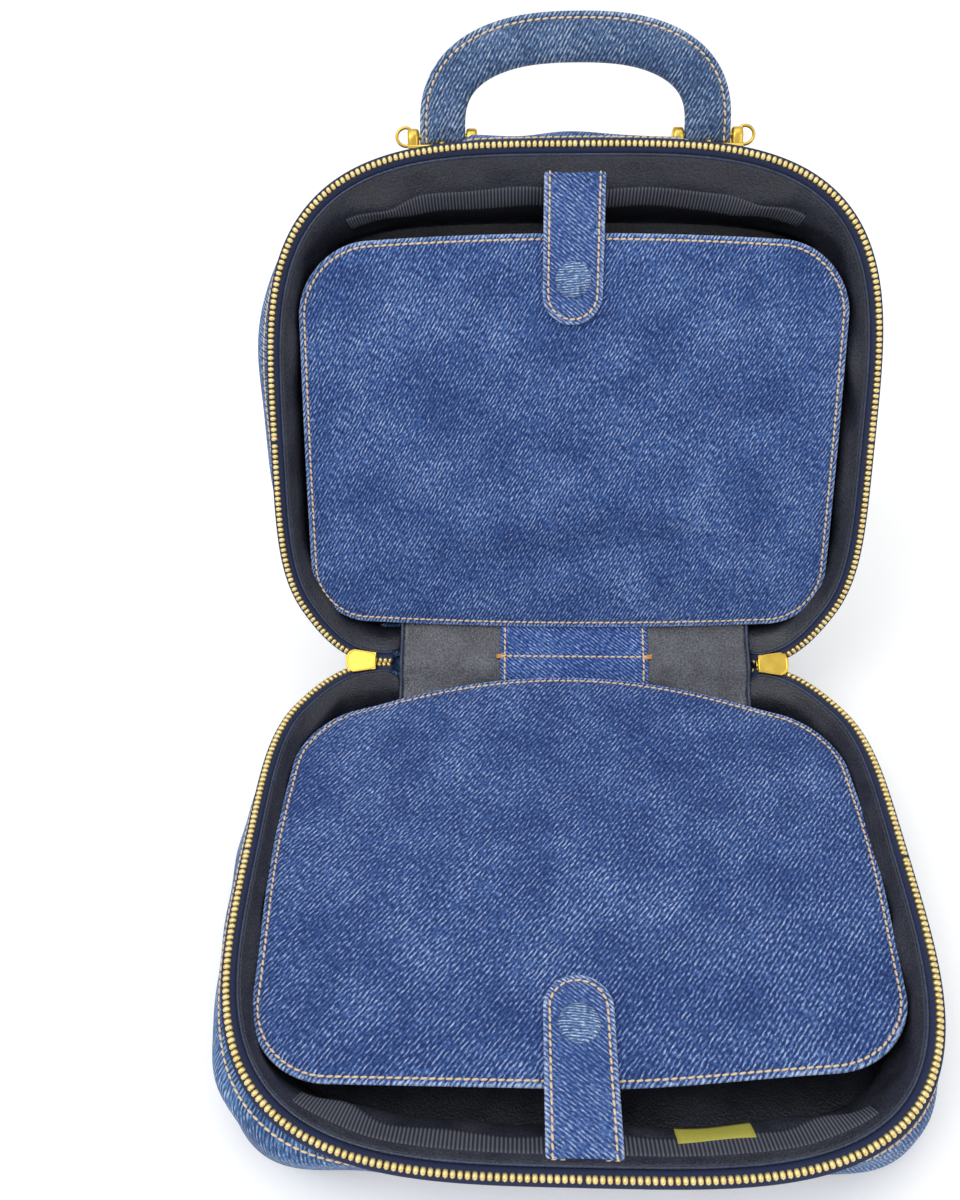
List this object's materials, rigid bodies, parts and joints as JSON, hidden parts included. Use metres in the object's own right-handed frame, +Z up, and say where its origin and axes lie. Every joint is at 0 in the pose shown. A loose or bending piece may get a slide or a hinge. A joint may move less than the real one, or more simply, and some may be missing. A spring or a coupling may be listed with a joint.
{
  "type": "zip-round brush case",
  "caption": "Padded denim case in two hinged halves, closed by a zip round the rim; each half has a flap held by a snap tab, and the upper half carries an arched handle with strap rings.",
  "frame": {"origin": "middle of the flat underside of the lower half", "axes": "+Z up; +X along the hinge line; the case opens towards -Y and the upper half with the handle stands at +Y"},
  "size_m": [0.2908, 0.3995, 0.3072],
  "materials": {
    "denim": "indigo twill, matt",
    "washed_denim": "washed indigo twill, matt",
    "lining": "navy-black coated cloth, satin",
    "ribbon": "ribbed ribbon",
    "zip_tape": "woven tape, matt",
    "piping": "satin edging",
    "brass": "polished gold",
    "fibre_board": "plain board",
    "foam": "foam",
    "sticker": "matt paper"
  },
  "bodies": {
    "lower_case": {"lower_shell": "washed_denim", "lower_stiffener_board": "fibre_board", "lower_wall_foam": "foam", "lower_lining": "lining", "lower_seam_ribbon": "ribbon", "lower_zip_tape": "zip_tape", "lower_zip_teeth": "brass", "lower_piping": "piping", "lower_hinge_panel": "lining", "lower_hinge_strap": "denim", "zip_chain_left": "brass", "zip_chain_right": "brass", "price_sticker": "sticker"},
    "upper_case": {"upper_shell": "washed_denim", "upper_stiffener_board": "fibre_board", "upper_wall_foam": "foam", "upper_lining": "lining", "upper_seam_ribbon": "ribbon", "upper_zip_tape": "zip_tape", "upper_zip_teeth": "brass", "upper_piping": "piping", "upper_hinge_panel": "lining", "upper_hinge_strap": "denim", "bracket_left": "brass", "handle_pin_left": "brass", "ring_barrel_left": "brass", "rivet_front_left": "brass", "rivet_back_left": "brass", "bracket_right": "brass", "handle_pin_right": "brass", "ring_barrel_right": "brass", "rivet_front_right": "brass", "rivet_back_right": "brass"},
    "lower_flap": {"lower_flap_cover": "denim", "lower_flap_backing": "lining", "lower_snap_stud": "brass"},
    "upper_flap": {"upper_flap_cover": "denim", "upper_flap_backing": "lining", "upper_snap_stud": "brass"},
    "lower_tab": {"lower_tab_strap": "washed_denim", "lower_snap_cap": "washed_denim"},
    "upper_tab": {"upper_tab_strap": "washed_denim", "upper_snap_cap": "washed_denim"},
    "slider_left": {"slider_left": "brass"},
    "slider_right": {"slider_right": "brass"},
    "pull_left": {"pull_left": "brass"},
    "pull_right": {"pull_right": "brass"},
    "handle": {"handle_pad": "washed_denim", "handle_foot_left": "washed_denim", "handle_foot_right": "washed_denim"},
    "ring_left": {"ring_left": "brass"},
    "ring_right": {"ring_right": "brass"}
  },
  "joints": [
    {"name": "case_fold", "type": "hinge", "parent": "lower_case", "child": "upper_case", "pos_m": [0, 0.117, 0.045], "axis": [1, 0, 0], "range_deg": [-35, 116]},
    {"name": "lower_flap_swing", "type": "hinge", "parent": "lower_case", "child": "lower_flap", "pos_m": [0, 0.1035, 0.0344], "axis": [1, 0, 0], "range_deg": [-55, 0], "deforming": ["lower_tab_strap", "lower_snap_cap"]},
    {"name": "upper_flap_swing", "type": "hinge", "parent": "upper_case", "child": "upper_flap", "pos_m": [0, 0.13245, 0.05249], "axis": [-1, 0, 0], "range_deg": [-55, 0], "deforming": ["upper_tab_strap", "upper_snap_cap"]},
    {"name": "lower_tab_lift", "type": "hinge", "parent": "lower_case", "child": "lower_tab", "pos_m": [0, -0.111, 0.0387], "axis": [-1, 0, 0], "range_deg": [-100, 0]},
    {"name": "upper_tab_lift", "type": "hinge", "parent": "upper_case", "child": "upper_tab", "pos_m": [0, 0.22261, 0.24716], "axis": [1, 0, 0], "range_deg": [-100, 0]},
    {"name": "handle_fold", "type": "hinge", "parent": "upper_case", "child": "handle", "pos_m": [0, 0.24547, 0.26049], "axis": [1, 0, 0], "range_deg": [-80, 80]},
    {"name": "slider_left_travel", "type": "slide", "parent": "lower_case", "child": "slider_left", "axis": [-1, 0, 0], "range_m": [0, 0.01]},
    {"name": "slider_right_travel", "type": "slide", "parent": "lower_case", "child": "slider_right", "axis": [1, 0, 0], "range_m": [0, 0.01]},
    {"name": "pull_left_swing", "type": "hinge", "parent": "slider_left", "child": "pull_left", "pos_m": [-0.104, 0.11923, 0.04144], "axis": [0, 0.848, 0.5299], "range_deg": [0, 80]},
    {"name": "pull_right_swing", "type": "hinge", "parent": "slider_right", "child": "pull_right", "pos_m": [0.104, 0.11923, 0.04144], "axis": [0, -0.848, -0.5299], "range_deg": [0, 80]},
    {"name": "ring_left_swing", "type": "hinge", "parent": "upper_case", "child": "ring_left", "pos_m": [-0.0749, 0.24547, 0.26049], "axis": [0, 0.4384, 0.8988], "range_deg": [-80, 80]},
    {"name": "ring_right_swing", "type": "hinge", "parent": "upper_case", "child": "ring_right", "pos_m": [0.0749, 0.24547, 0.26049], "axis": [0, 0.4384, 0.8988], "range_deg": [-80, 80]}
  ]
}
